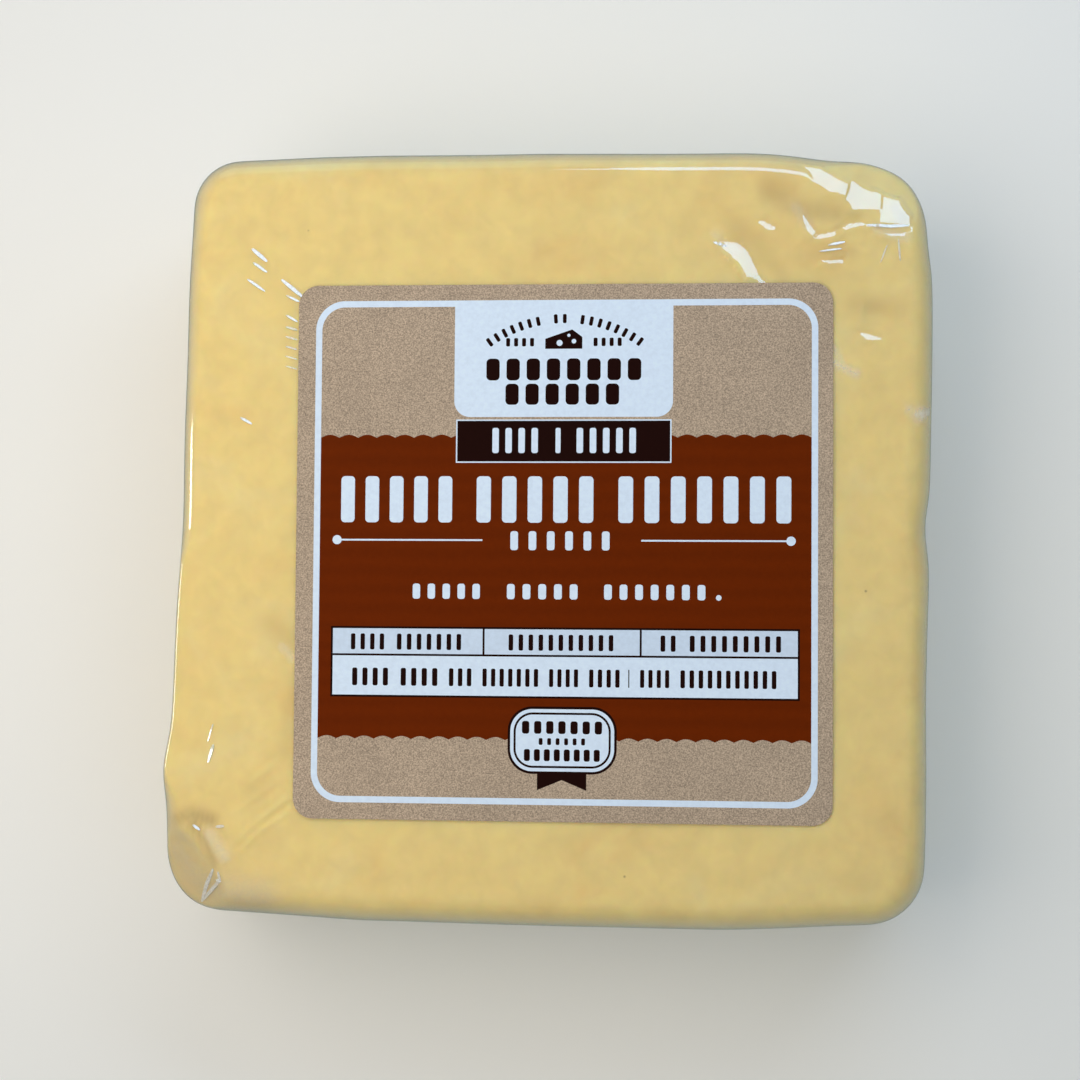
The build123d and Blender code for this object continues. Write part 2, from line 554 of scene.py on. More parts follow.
def closed_grid(rings):
    """Points and faces of a grid of rings, closed by a fan at each end."""
    ring_count, count = rings.shape[:2]
    points = rings.reshape(-1, 3)
    first, last = rings[0].mean(axis=0), rings[-1].mean(axis=0)
    points = np.vstack([points, first, last])
    faces = []
    for r in range(ring_count - 1):
        for i in range(count):
            j = (i + 1) % count
            faces.append((r * count + i, (r + 1) * count + i, (r + 1) * count + j, r * count + j))
    top, bottom, base = len(points) - 2, len(points) - 1, (ring_count - 1) * count
    for i in range(count):
        j = (i + 1) % count
        faces.append((top, i, j))
        faces.append((bottom, base + j, base + i))
    return points, faces


# ---------------------------------------------------------------------------- relief of the film


def travel(path):
    """Length of each leg of a path, and the distance travelled at each of its points."""
    lengths = np.linalg.norm(np.diff(path, axis=0), axis=1)
    return lengths, np.concatenate([[0], np.cumsum(lengths)])


def nearest_on_path(places, path):
    """For each place: distance along the path as a share, and signed offset, positive to its left."""
    path = np.asarray(path, float)
    lengths, starts = travel(path)
    best = np.full(len(places), np.inf)
    share = np.zeros(len(places))
    offset = np.zeros(len(places))
    for i, length in enumerate(lengths):
        way = (path[i + 1] - path[i]) / length
        away = places - path[i]
        t = np.clip(away @ way, 0, length)
        side = away[:, 1] * way[0] - away[:, 0] * way[1]
        distance = np.hypot(*(away - t[:, None] * way).T)
        closer = distance < best
        best = np.where(closer, distance, best)
        share = np.where(closer, (starts[i] + t) / starts[-1], share)
        offset = np.where(closer, np.where(side < 0, -distance, distance), offset)
    return share, offset


def depth_inside(places, outline):
    """Distance inside a closed outline, negative outside it."""
    outline = np.asarray(outline, float)
    distance = np.full(len(places), np.inf)
    inside = np.zeros(len(places), bool)
    for start, end in zip(outline, np.roll(outline, -1, axis=0)):
        way = end - start
        away = places - start
        t = np.clip(away @ way / (way @ way), 0, 1)
        distance = np.minimum(distance, np.hypot(*(away - t[:, None] * way).T))
        crosses = (start[1] > places[:, 1]) != (end[1] > places[:, 1])
        with np.errstate(divide="ignore", invalid="ignore"):
            reach = start[0] + way[0] * (places[:, 1] - start[1]) / way[1]
        inside ^= crosses & (places[:, 0] < reach)
    return np.where(inside, distance, -distance)


def ridge(places, path, height, reach):
    """Rise of a soft ridge along a path, fading out towards both its ends."""
    share, offset = nearest_on_path(places, path)
    fade = np.sin(pi * np.clip(share, 0, 1)) ** 0.6
    return height * fade * bell(offset, reach)


def soft_lumps(places, seed, size):
    """Smooth, seeded unevenness between about -1 and 1, with lumps of a given size."""
    random = np.random.default_rng(seed)
    total = np.zeros(len(places))
    for _ in range(14):
        way = random.normal(size=3)
        way /= np.linalg.norm(way)
        wavelength = size * random.uniform(0.7, 1.8)
        total += np.sin(places @ way * 2 * pi / wavelength + random.uniform(0, 2 * pi))
    return total / 5


# Broad swells and hollows of the far right corner, and a ridge down the right edge: path, height,
# reach
FACE_SWELLS = (
    (((28.0, 38.0), (30.0, 36.0), (33.5, 34.8), (37.0, 35.8)), 0.20, 1.2),
    (((32.2, 38.9), (34.6, 37.8)), -0.14, 1.1),
    (((25.0, 39.4), (28.0, 39.9), (30.6, 40.6)), -0.22, 1.2),
    (((22.0, 35.8), (25.4, 33.2), (27.0, 30.5)), -0.20, 1.1),
    (((37.4, 26.3), (40.8, 26.3)), -0.30, 1.3),
    (((36.5, 21.5), (40.0, 21.2)), 0.10, 1.2),
    (((36.0, 30.6), (42.0, 30.0)), -0.10, 1.5),
    (((42.2, 18.2), (42.4, 14.1), (42.7, 11.2), (42.3, 6.5), (42.2, -0.5)), 0.10, 0.5),
)
# Ridges and grooves that run from the label to the dented near left corner
CORNER_SWELLS = (
    (((-40.4, -34.6), (-39.2, -36.8), (-37.9, -39.4)), 0.26, 0.6),
    (((-42.0, -34.0), (-40.5, -36.9), (-39.1, -39.4)), -0.20, 0.45),
    (((-29.0, -30.2), (-33.1, -33.8), (-37.6, -38.2)), 0.16, 0.6),
    (((-29.2, -31.4), (-33.5, -34.6), (-37.0, -38.0)), -0.18, 0.45),
    (((-29.4, -32.4), (-33.8, -35.4), (-37.0, -38.8)), 0.12, 0.5),
)
# Planes that cut a corner where the film is drawn straight across it: a point on the plane, the
# way it faces, a far point with the reach round it within which it acts, and its edge's softness
CORNER_PLANES = (
    ((26.4, 45.65, 25.6), (0.203, 0.352, 0.914), (42.0, 42.0), 15.0, 0.3),
    ((-41.0, -36.9, 25.4), (-0.416, -0.277, 0.866), (-45.4, -42.6), 9.5, 0.35),
)
# Flat facets of film that bridge the folds: outline, tilt, azimuth of the tilt
FACETS = (
    (((30.6, 44.0), (32.6, 43.6), (34.6, 42.1), (34.3, 40.3), (33.2, 40.4), (31.5, 42.2)), 15.5, 68),
    (((34.8, 42.1), (35.9, 41.8), (35.4, 40.0), (34.5, 40.1)), 15, 64),
    (((36.0, 41.7), (39.7, 40.6), (39.4, 38.4), (36.0, 38.1), (35.5, 39.9)), 15.5, 70),
    (((39.9, 40.3), (41.7, 39.9), (43.0, 37.7), (42.8, 36.5), (39.2, 36.6), (39.6, 38.3)), 15.5, 66),
    (((38.8, 35.6), (42.6, 35.9), (41.9, 35.1), (40.4, 35.0)), 15.5, 74),
    (((24.5, 37.2), (25.8, 37.5), (27.3, 36.7), (27.0, 35.8), (26.0, 35.8), (25.3, 36.5)), 17, 65),
    (((36.4, 24.2), (38.0, 24.0), (39.8, 23.4), (39.6, 22.8), (37.6, 22.7), (37.1, 23.2)), 18, 74),
    (((32.2, 32.0), (33.4, 32.6), (35.2, 32.8), (35.2, 32.1), (33.4, 31.8)), 17, 72),
)
# Narrow ribbons of film that lean to the left of their path: path, widths, lean
RIBBONS = (
    (
        ((21.3, 34.3), (22.4, 33.8), (23.4, 32.8), (24.2, 31.3), (25.2, 29.2)),
        (1.7, 2.5, 2.2, 2.2, 2.5),
        18.5,
    ),
    (((30.4, 37.7), (31.2, 36.2), (32.2, 35.3)), (0.8, 1.2, 0.9), 18),
    (((32.2, 35.3), (34.1, 35.7), (35.5, 36.4)), (0.8, 0.8, 1.0), 17),
    (((35.5, 36.4), (37.1, 36.7), (38.0, 36.5)), (1.2, 1.0, 0.7), 16),
)


def cross_slope_level(places, path, widths, lean):
    """How much of each place a leaning ribbon covers, and the ribbon's level there."""
    share, offset = nearest_on_path(places, path)
    halves = np.interp(share, np.linspace(0, 1, len(widths)), np.asarray(widths) / 2)
    cover = 1 - smooth_step(np.abs(offset), halves, halves + RIBBON_EDGE)
    return cover, HEAD - tan(radians(lean)) * offset


def cut_corners(places):
    """Places moved onto the corner planes where they lie outside them."""
    places = places.copy()
    for point, facing, middle, reach, softness in CORNER_PLANES:
        outside = (places - point) @ facing
        outside = (outside + np.sqrt(outside**2 + softness**2)) / 2
        away = np.hypot(*(places[:, :2] - middle).T)
        share = 1 - smooth_step(away, reach - PLANE_FADE, reach)
        places -= np.array(facing) * (outside * share)[:, None]
    return places


FOLD_DEPTH = 4.2  # facets and ribbons reach no lower than this below the face
FACET_REACH, RIBBON_REACH = 4, 5  # no facet or ribbon is further across than this from its middle
FACET_EDGE = (-0.22, 0.02)  # depths inside a facet's outline between which it fades in
RIBBON_EDGE = 0.2  # how far a ribbon takes to fade out beside itself
PLANE_FADE = 4.0  # how far a corner plane takes to fade out at its reach


def press_onto_folds(places):
    """Levels of the places once the film is pressed onto its facets and ribbons."""
    flat = places[:, :2]
    level = places[:, 2].copy()
    on_head = places[:, 2] > HEAD - FOLD_DEPTH
    for outline, tilt, azimuth in FACETS:
        near = on_head & (np.hypot(*(flat - np.mean(outline, axis=0)).T) < FACET_REACH)
        depth = depth_inside(flat[near], outline)
        downhill = np.array([cos(radians(azimuth)), sin(radians(azimuth))])
        along = (flat[near] - np.mean(outline, axis=0)) @ downhill
        middle = level[near][depth > 0].mean()
        share = smooth_step(depth, *FACET_EDGE)
        level[near] += share * (middle - tan(radians(tilt)) * along - level[near])
    for path, widths, lean in RIBBONS:
        near = on_head & (np.hypot(*(flat - np.mean(path, axis=0)).T) < RIBBON_REACH)
        cover, ribbon = cross_slope_level(flat[near], path, widths, lean)
        level[near] += cover * (ribbon - level[near])
    return level


WRINKLES = 16
WRINKLE_PITCH = 1.15


def film_relief(places):
    """Rise of the film above the plain rounded block, over the face and its rounded edge."""
    flat = places[:, :2]
    rise = np.zeros(len(places))
    for path, height, reach in FACE_SWELLS + CORNER_SWELLS:
        rise += ridge(flat, path, height, reach)
    # Fine wrinkles fan out from the label's lower left edge
    random = np.random.default_rng(5)
    for i in range(WRINKLES):
        start = np.array([-29.2 - random.uniform(0, 2.5), -12.5 - WRINKLE_PITCH * i])
        spread = radians(188 + 2.1 * i + random.uniform(-2, 2))
        end = start + random.uniform(5, 10) * np.array([cos(spread), sin(spread)])
        bend = (start + end) / 2 + random.normal(0, 0.25, 2)
        rise += ridge(flat, (start, bend, end), random.uniform(0.04, 0.10), random.uniform(0.4, 0.6))
    return rise


LUMP_SEED, LUMP_SIZE = 7, 22.0
LABEL_DENT = 0.03  # how deep the label presses into the film
LABEL_FADE = (-0.6, 0.5)  # distances outside the label's edge over which the relief starts
FACE_DEPTH = 1  # the label presses on nothing lower than this below the face


def wrapped_surface(fine_step, coarse_step, top_step, relief, inset=0.0):
    """Rings of the wrapped block with its lumps and folds, moved in by inset."""
    settings = bpy.context.scene.wrap_settings
    rings = wrapped_rings(fine_step, coarse_step, top_step)
    normals = ring_normals(rings)
    places = rings.reshape(-1, 3)
    out = normals.reshape(-1, 3)
    facing_up = smooth_step(out[:, 2], 0.2, 0.6)
    facing_down = smooth_step(-out[:, 2], 0.3, 0.8)
    rise = soft_lumps(places, LUMP_SEED, LUMP_SIZE) * settings.lump_height * (1 - facing_down)
    rise += film_relief(places) * facing_up * relief
    # Under the label the film lies flat against the paper
    outside = np.max(np.abs(places[:, :2] - LABEL_MIDDLE) - LABEL_HALF, axis=1)
    on_face = places[:, 2] > HEAD - FACE_DEPTH
    clear_of_label = np.where(on_face, smooth_step(outside, *LABEL_FADE), 1)
    placed = cut_corners(places + out * (rise * clear_of_label)[:, None])
    level = press_onto_folds(placed)
    placed[:, 2] += (level - placed[:, 2]) * clear_of_label - LABEL_DENT * (1 - clear_of_label)
    return (placed - out * inset).reshape(rings.shape)


# Painted shade: where the cheese's colour is darkened to stand for the shade in the hollows and creases
# of the folded film and over the near left corner: path, strength, reach
PAINTED_SHADE_PATCHES = (
    (((26.5, 41.0), (28.6, 39.2), (31.5, 38.4), (34.5, 38.0)), 0.65, 1.3),
    (((34.5, 38.0), (36.5, 37.6)), 0.55, 0.8),
    (((22.5, 36.4), (25.0, 34.4), (27.2, 31.6), (28.3, 29.8)), 0.40, 1.2),
    (((36.5, 27.3), (40.8, 26.6)), 0.50, 1.3),
    (((31.5, 33.1), (36.0, 33.4)), 0.30, 0.8),
    (((-44.0, -34.0), (-41.8, -33.4), (-39.5, -34.1)), 1.0, 1.0),
    (((-41.8, -34.6), (-40.3, -37.1), (-39.1, -39.3)), 1.0, 0.7),
    (((-43.6, -38.8), (-40.6, -42.2), (-34.0, -43.6)), 0.60, 3.0),
    (((-32.5, -10.8), (-30.2, -12.6)), 0.5, 1.6),
    (((-29.8, -17.0), (-30.6, -26.0)), 0.3, 1.0),
)
# Where the film has lifted and looks milky: path, strength, reach
MILKY_PATCHES = (
    (((44.0, 14.2), (45.2, 14.6)), 0.9, 0.8),
    (((42.6, 14.9), (43.4, 14.4)), 0.5, 0.4),
    (((33.9, 20.4), (36.6, 19.0)), 0.5, 0.5),
    (((33.9, 22.0), (34.6, 21.0)), 0.3, 0.5),
    (((41.2, 38.8), (42.2, 37.2)), 0.25, 0.9),
    (((39.0, 36.2), (42.4, 35.0)), 0.30, 0.6),
    (((29.5, 38.8), (30.9, 36.6)), 0.22, 0.7),
    (((20.0, 35.6), (21.9, 33.4)), 0.20, 0.7),
    (((-44.2, -37.7), (-42.1, -40.6)), 0.30, 1.9),
    (((-39.6, -35.9), (-37.9, -38.4)), 0.38, 0.9),
    (((-42.8, -40.4), (-39.6, -42.6), (-33.5, -43.6)), 0.28, 2.6),
    (((-31.2, -13.4), (-29.9, -14.8)), 0.35, 0.5),
)


PATCH_DEPTH = 6.0  # patches reach no lower than this below the face


def patch_values(places, patches):
    """How far each place lies in any of the soft patches on the face, from 0 to 1."""
    values = np.zeros(len(places))
    for path, strength, reach in patches:
        _, offset = nearest_on_path(places[:, :2], path)
        values = np.maximum(values, strength * bell(offset, reach))
    return values * (places[:, 2] > HEAD - PATCH_DEPTH)


def add_point_values(piece, name, values):
    """Store one number per point on a mesh, for its material to read."""
    attribute = piece.data.attributes.new(name, "FLOAT", "POINT")
    attribute.data.foreach_set("value", np.asarray(values, np.float32))


# ---------------------------------------------------------------------------- fine pleats

# Pleats that lean to the left of their path: path, width, lean
PLEATS = (
    (((-35.5, 34.4), (-33.6, 32.8)), 0.52, 24),
    (((-35.3, 32.7), (-33.6, 31.5)), 0.40, 24),
    (((-36.0, 30.7), (-33.8, 29.2)), 0.36, 24),
    (((-31.8, 30.6), (-29.1, 28.4)), 0.52, 23),
    (((-31.2, 28.7), (-29.6, 27.9)), 0.32, 23),
    (((-31.2, 26.3), (-29.8, 25.5)), 0.32, 23),
    (((-36.6, 14.0), (-35.2, 13.2)), 0.36, 25),
    (((-40.0, -24.8), (-39.4, -22.7)), 0.24, 29),
    (((-39.95, -27.3), (-39.3, -25.1)), 0.45, 29),
    (((-38.9, -34.9), (-37.9, -34.8)), 0.40, 29),
    (((-41.7, -34.7), (-40.8, -35.3)), 0.36, 32),
    (((-41.1, -44.1), (-40.2, -41.8), (-39.2, -39.9)), 0.50, 30.5),
    (((-40.9, -43.9), (-39.6, -42.5), (-38.4, -41.3), (-38.6, -40.2)), 0.46, 30.5),
    (((-38.9, -41.2), (-38.2, -41.4)), 0.30, 30),
    (((32.3, 33.5), (34.9, 33.8)), 0.26, 18),
    (((33.3, 34.2), (35.3, 34.6)), 0.34, 19),
    (((41.5, 34.9), (41.7, 32.3)), 0.22, 20),
    (((40.2, 34.2), (39.4, 32.1)), 0.18, 20),
    (((19.9, 34.7), (21.4, 34.2)), 0.40, 17),
    (((37.9, 36.6), (40.5, 36.4), (42.7, 36.5)), 0.42, 15.5),
)
# The label's edge raises a row of short pleats beside it
EDGE_PITCH = 1.18
EDGE_ROW = tuple(
    (((-31.2, 24.9 - EDGE_PITCH * i), (-29.8, 24.5 - EDGE_PITCH * i)), 0.30 - 0.03 * i, 26)
    for i in range(5)
)
# Across a pleat: shares of its width to the left of its middle. Between the two ends it is flat.
PLEAT_SIDEWAYS = (-0.50, -0.40, -0.36, -0.15, 0.10, 0.36, 0.40, 0.50)
PLEAT_STEP = 0.12  # mesh step along a pleat
PLEAT_LIFT = 0.004  # a pleat's clearance over the film
ABOVE_ALL = 50  # a level above the whole block, from which to look down


def pleat_strips(film):
    """Points and faces of every pleat, laid on the film straight below it."""
    skin = BVHTree.FromObject(film, bpy.context.evaluated_depsgraph_get())
    points, faces = [], []
    for path, width, lean in PLEATS + EDGE_ROW:
        path = np.array(path)
        _, travelled = travel(path)
        count = max(8, int(travelled[-1] / PLEAT_STEP))
        wanted = np.linspace(0, travelled[-1], count)
        line = np.stack([np.interp(wanted, travelled, path[:, k]) for k in (0, 1)], axis=1)
        for _ in range(2):
            line[1:-1] = (line[:-2] + 2 * line[1:-1] + line[2:]) / 4
        way = np.gradient(line, axis=0)
        way /= np.linalg.norm(way, axis=1)[:, None]
        side = np.stack([-way[:, 1], way[:, 0]], axis=1)
        taper = np.sin(pi * np.linspace(0.04, 0.96, count)) ** 0.4
        slope = tan(radians(lean)) * width
        first = len(points)
        for place, sideways, share in zip(line, side, taper):
            across = np.array(PLEAT_SIDEWAYS) * share
            spots = [place + sideways * (width * a) for a in across]
            starts = [Vector((*spot, ABOVE_ALL)) * MM for spot in spots]
            hits = [skin.ray_cast(start, Vector((0, 0, -1)))[0] for start in starts]
            ground = np.array([hit.z for hit in hits]) / MM + PLEAT_LIFT
            roof = -slope * across[1:-1]
            roof += max(PLEAT_LIFT, (ground[1:-1] - roof).max() + PLEAT_LIFT)
            level = np.concatenate([ground[:1], roof, ground[-1:]])
            points += [(*spot, z) for spot, z in zip(spots, level)]
        columns = len(PLEAT_SIDEWAYS)
        for i in range(count - 1):
            for k in range(columns - 1):
                a = first + i * columns + k
                faces.append((a, a + columns, a + columns + 1, a + 1))
    return points, faces


# ---------------------------------------------------------------------------- the label's print


def arc_points(centre, radius, start, end, step=0.12):
    """Points round an arc, from start to end degrees."""
    count = max(3, int(abs(radians(end - start)) * radius / step))
    angles = np.radians(np.linspace(start, end, count + 1))
    return [(centre[0] + radius * cos(a), centre[1] + radius * sin(a)) for a in angles]


def rounded_box(left, bottom, right, top, radii):
    """A box whose four corners, from lower left anticlockwise, have the given radii."""
    if not isinstance(radii, (tuple, list)):
        radii = (radii,) * 4
    points = []
    corners = (
        (left, bottom, 1, 1, 180),
        (right, bottom, -1, 1, 270),
        (right, top, -1, -1, 0),
        (left, top, 1, -1, 90),
    )
    for (x, y, dx, dy, angle), radius in zip(corners, radii):
        if radius <= 0:
            points.append((x, y))
        else:
            points += arc_points((x + dx * radius, y + dy * radius), radius, angle, angle + 90)
    return points


def disc(x, y, radius):
    """A filled circle."""
    return arc_points((x, y), radius, 0, 360)[:-1]


def upright_strokes(left, right, bottom, top, count, fill, radius):
    """A word's worth of plain upright strokes that stand where print would be."""
    pitch = (right - left) / count
    width = pitch * fill
    radius = width * 0.32 if radius is None else radius
    shapes = []
    for i in range(count):
        x = left + pitch * (i + 0.5)
        shapes.append(rounded_box(x - width / 2, bottom, x + width / 2, top, radius))
    return shapes


def stroke_row(words, bottom, top, fill, ink, radius=None):
    """A printed row: words are (left, right, number of strokes)."""
    fields = []
    for left, right, count in words:
        for shape in upright_strokes(left, right, bottom, top, count, fill, radius):
            fields.append((shape, ink))
    return fields


def turned(points, centre, degrees):
    """Points turned about a centre."""
    c, s = cos(radians(degrees)), sin(radians(degrees))
    middle_x, middle_y = centre
    offsets = [(x - middle_x, y - middle_y) for x, y in points]
    return [(middle_x + dx * c - dy * s, middle_y + dx * s + dy * c) for dx, dy in offsets]


def scalloped_band(left, bottom, right, top, pitch, depth):
    """The brown band, whose long edges are rows of shallow scallops."""
    count = int(round((right - left) / pitch))
    steps = 10
    lower, upper = [], []
    for i in range(count * steps + 1):
        x = left + (right - left) * i / (count * steps)
        wave = abs(sin(pi * i / steps))
        lower.append((x, bottom + depth * wave))
        upper.append((x, top - depth * (1 - wave)))
    return lower + upper[::-1]


STOCK_SIDE = 63.5  # the layout below is drawn for this side, and follows the frame's label
STOCK_ROUND = 2.4
PRINT_SHIFT = (0.19, 0.05)  # how far the print sits off the middle of its label
KRAFT, WHITE, GREY, BROWN, DARK = range(5)


def label_layout():
    """Every printed field in paint order, as (outline, ink), in mm from the middle of the print."""
    half = STOCK_SIDE / 2
    shift_x, shift_y = PRINT_SHIFT
    stock = rounded_box(-half - shift_x, -half - shift_y, half - shift_x, half - shift_y, STOCK_ROUND)
    outer, inner = 29.83, 29.08
    grounds = [
        (stock, KRAFT),
        (rounded_box(-outer, -outer, outer, outer, 3.5), WHITE),
        (rounded_box(-inner, -inner, inner, inner, 2.8), KRAFT),
        (scalloped_band(-inner, -22.3, inner, 13.8, 2.2, 0.36), BROWN),
        (rounded_box(-13.1, 15.9, 12.85, inner + 0.3, (1.9, 1.9, 0, 0)), WHITE),
    ]
    parts = (panel_fields, banner_fields, title_fields, table_fields, seal_fields)
    return grounds + [field for part in parts for field in part()]


def panel_fields():
    """The white panel: an arch of dashes, a cheese wedge between two bars, two rows of strokes."""
    fields = []
    word_gaps = (7, 10)
    for i, angle in enumerate(np.linspace(126, 54, 19)):
        if i in word_gaps:
            continue
        x, y = 15.2 * cos(radians(angle)), 13.0 + 14.6 * sin(radians(angle))
        dash = rounded_box(x - 0.22, y - 0.55, x + 0.22, y + 0.55, 0.15)
        fields.append((turned(dash, (x, y), angle - 90), DARK))
    fields += stroke_row(((-7.2, -3.4, 4), (3.2, 7.0, 4)), 24.3, 25.3, 0.5, DARK)
    wedge = [(-2.3, 24.0), (2.1, 24.0), (2.1, 25.4), (0.9, 26.3), (-2.3, 25.2)]
    fields.append((wedge, DARK))
    for hole in ((-0.6, 24.7, 0.36), (1.1, 24.9, 0.28), (0.5, 25.6, 0.2)):
        fields.append((disc(*hole), WHITE))
    fields += stroke_row(((-9.7, 9.5, 8),), 20.25, 22.85, 0.66, DARK)
    fields += stroke_row(((-7.4, 6.9, 6),), 17.35, 19.85, 0.66, DARK)
    return fields


def banner_fields():
    """The dark banner with its thin pale outline."""
    left, bottom, right, top = -12.55, 10.75, 12.4, 15.3
    line, gap = 0.16, 0.14
    fields = []
    for spread, ink in ((gap + line, WHITE), (gap, DARK)):
        box = rounded_box(left - spread, bottom - spread, right + spread, top + spread, 0)
        fields.append((box, ink))
    words = ((-8.9, -2.7, 4), (-1.3, -0.1, 1), (1.1, 8.9, 5))
    return fields + stroke_row(words, 11.6, 14.6, 0.5, WHITE)


def title_fields():
    """The tall title strokes, the ruled line under them, and two smaller rows."""
    title = ((-27.2, -12.6, 5), (-11.0, 4.2, 5), (5.8, 27.4, 7))
    fields = stroke_row(title, 3.35, 8.85, 0.56, WHITE, 0.45)
    half_line, level = 0.1, 1.27
    for start, end, dot in ((-27.0, -9.6, -27.0), (9.2, 26.7, 26.7)):
        fields.append((rounded_box(start, level - half_line, end, level + half_line, 0), WHITE))
        fields.append((disc(dot, level, 0.55), WHITE))
    fields += stroke_row(((-6.9, 6.1, 6),), 0.1, 2.35, 0.42, WHITE)
    lowest = ((-18.3, -9.4, 5), (-7.1, 2.2, 5), (4.4, 17.2, 7))
    fields += stroke_row(lowest, -5.7, -3.9, 0.5, WHITE)
    fields.append((disc(18.3, -5.4, 0.33), WHITE))
    return fields


def table_fields():
    """The ruled table: three cells over one long one, each with a row of small strokes."""
    left, right, top, middle, bottom = -27.6, 27.75, -9.0, -12.35, -17.35
    line = 0.24
    fields = [(rounded_box(left, bottom, right, top, 0), DARK)]
    columns = (left, -9.35, 9.2, right)
    for start, end in zip(columns, columns[1:]):
        gap_left = line if start == left else line / 2
        gap_right = line if end == right else line / 2
        cell = rounded_box(start + gap_left, middle + line / 2, end - gap_right, top - line, 0)
        fields.append((cell, GREY))
    fields.append((rounded_box(left + line, bottom + line, right - line, middle - line / 2, 0), WHITE))
    upper = ((-25.5, -20.9, 4), (-20.0, -11.7, 7), (-6.7, 6.3, 11), (11.2, 13.6, 2), (14.6, 25.9, 9))
    fields += stroke_row(upper, -11.75, -9.85, 0.46, DARK)
    lower = (
        (-25.3, -20.4, 4), (-19.5, -14.5, 4), (-13.7, -10.5, 3), (-9.7, -2.6, 7), (-1.8, 2.1, 4),
        (2.9, 7.0, 4), (7.7, 7.95, 1), (8.9, 12.8, 4), (13.6, 25.3, 11),
    )
    return fields + stroke_row(lower, -16.0, -13.9, 0.5, DARK)


def seal_fields():
    """A plain oval seal with a short ribbon under it."""
    ribbon = [(-2.9, -28.1), (0.0, -26.9), (2.9, -28.1), (2.9, -25.3), (-2.9, -25.3)]
    fields = [
        (ribbon, DARK),
        (rounded_box(-6.4, -26.2, 6.45, -18.3, 2.9), DARK),
        (rounded_box(-6.1, -25.9, 6.15, -18.6, 2.6), WHITE),
        (rounded_box(-5.7, -25.5, 5.75, -19.0, 2.25), DARK),
        (rounded_box(-5.45, -25.25, 5.5, -19.25, 2.0), WHITE),
    ]
    fields += stroke_row(((-5.0, 5.0, 7),), -21.5, -20.0, 0.6, DARK)
    fields += stroke_row(((-3.0, 3.0, 6),), -22.8, -22.0, 0.45, DARK)
    fields += stroke_row(((-4.7, 4.7, 8),), -24.7, -23.3, 0.6, DARK)
    return fields


def printed_sheet(fields):
    """Triangulate the label so that every field's edge is an edge of the sheet.

    Gives points, triangles, and each triangle's ink: that of the last field painted over it.
    """
    points, loops = [], []
    for outline, _ in fields:
        loops.append(list(range(len(points), len(points) + len(outline))))
        points += [Vector(p) for p in outline]
    flat, _, faces, _, _, covered_by = delaunay_2d_cdt(points, [], loops, 1, 1e-5, True)
    inks = [fields[max(cover)][1] if cover else KRAFT for cover in covered_by]
    return flat, faces, inks


# ---------------------------------------------------------------------------- operators


class BuildCheese(bpy.types.Operator):
    """Make the cheese that fills the film"""

    bl_idname = "cheddar.build_cheese"
    bl_label = "Cheese"

    def execute(self, context):
        settings = context.scene.wrap_settings
        rings = wrapped_surface(
            settings.fine_step * 2, settings.coarse_step * 1.6, 0.55, 0.85, settings.cheese_gap
        )
        points, faces = closed_grid(rings)
        cheese = add_mesh_object("cheese", points, faces, [aged_cheddar()])
        # Painted shade: values that darken the cheese in the hollows and creases of the folds and over
        # the near left corner
        add_point_values(cheese, "painted_shade", patch_values(points, PAINTED_SHADE_PATCHES))
        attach(cheese, "root")
        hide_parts(BLOCK)
        return {"FINISHED"}


class BuildFilm(bpy.types.Operator):
    """Make the clear film that is shrunk over the cheese, and its fine pleats"""

    bl_idname = "cheddar.build_film"
    bl_label = "Film"

    def execute(self, context):
        settings = context.scene.wrap_settings
        rings = wrapped_surface(settings.fine_step, settings.coarse_step, 0.27, 1.0)
        points, faces = closed_grid(rings)
        film = add_mesh_object("film", points, faces, [shrink_film()])
        add_point_values(film, "milk", patch_values(points, MILKY_PATCHES))
        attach(film, "root")
        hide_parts(BLOCK)
        points, faces = pleat_strips(film)
        pleats = add_mesh_object("film_pleats", points, faces, [film.data.materials[0]])
        add_point_values(pleats, "milk", np.ones(len(points)))
        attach(pleats, "root")
        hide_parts(BLOCK)
        return {"FINISHED"}


class BuildLabel(bpy.types.Operator):
    """Make the printed kraft label"""

    bl_idname = "cheddar.build_label"
    bl_label = "Label"

    def execute(self, context):
        inks = context.scene.label_settings
        materials = [
            kraft_paper(),
            printed_ink("White ink, opaque", inks.white_ink, 0.5),
            printed_ink("White ink, screened", inks.grey_ink, 0.55),
            printed_ink("Brown ink, flexo printed", inks.brown_ink, 0.48, banding=0.10),
            printed_ink("Dark ink, flexo printed", inks.dark_ink, 0.5),
        ]
        flat, faces, face_inks = printed_sheet(label_layout())
        scale = (LABEL_HIGH[:2] - LABEL_LOW[:2]) / STOCK_SIDE
        middle = LABEL_MIDDLE + np.array(PRINT_SHIFT) * scale
        points = [(*(middle + np.array(place) * scale), LABEL_HIGH[2]) for place in flat]
        label = add_mesh_object("paper_label", points, faces, materials, face_inks, smooth=False)
        body = bmesh.new()
        body.from_mesh(label.data)
        edge = [e for e in body.edges if e.is_boundary]
        made = bmesh.ops.extrude_edge_only(body, edges=edge)["geom"]
        lower = [v for v in made if isinstance(v, bmesh.types.BMVert)]
        for vertex in lower:
            vertex.co.z = LABEL_LOW[2] * MM
        rim = [e for e in made if isinstance(e, bmesh.types.BMEdge) and e.is_boundary]
        bmesh.ops.contextual_create(body, geom=rim)
        # Only the printed face keeps its inks
        for face in body.faces:
            if face.normal.z < 0.5 or face.calc_center_median().z < LABEL_HIGH[2] * MM - 1e-6:
                face.material_index = KRAFT
        bmesh.ops.recalc_face_normals(body, faces=body.faces)
        body.to_mesh(label.data)
        body.free()
        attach(label, "root")
        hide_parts(LABEL)
        return {"FINISHED"}


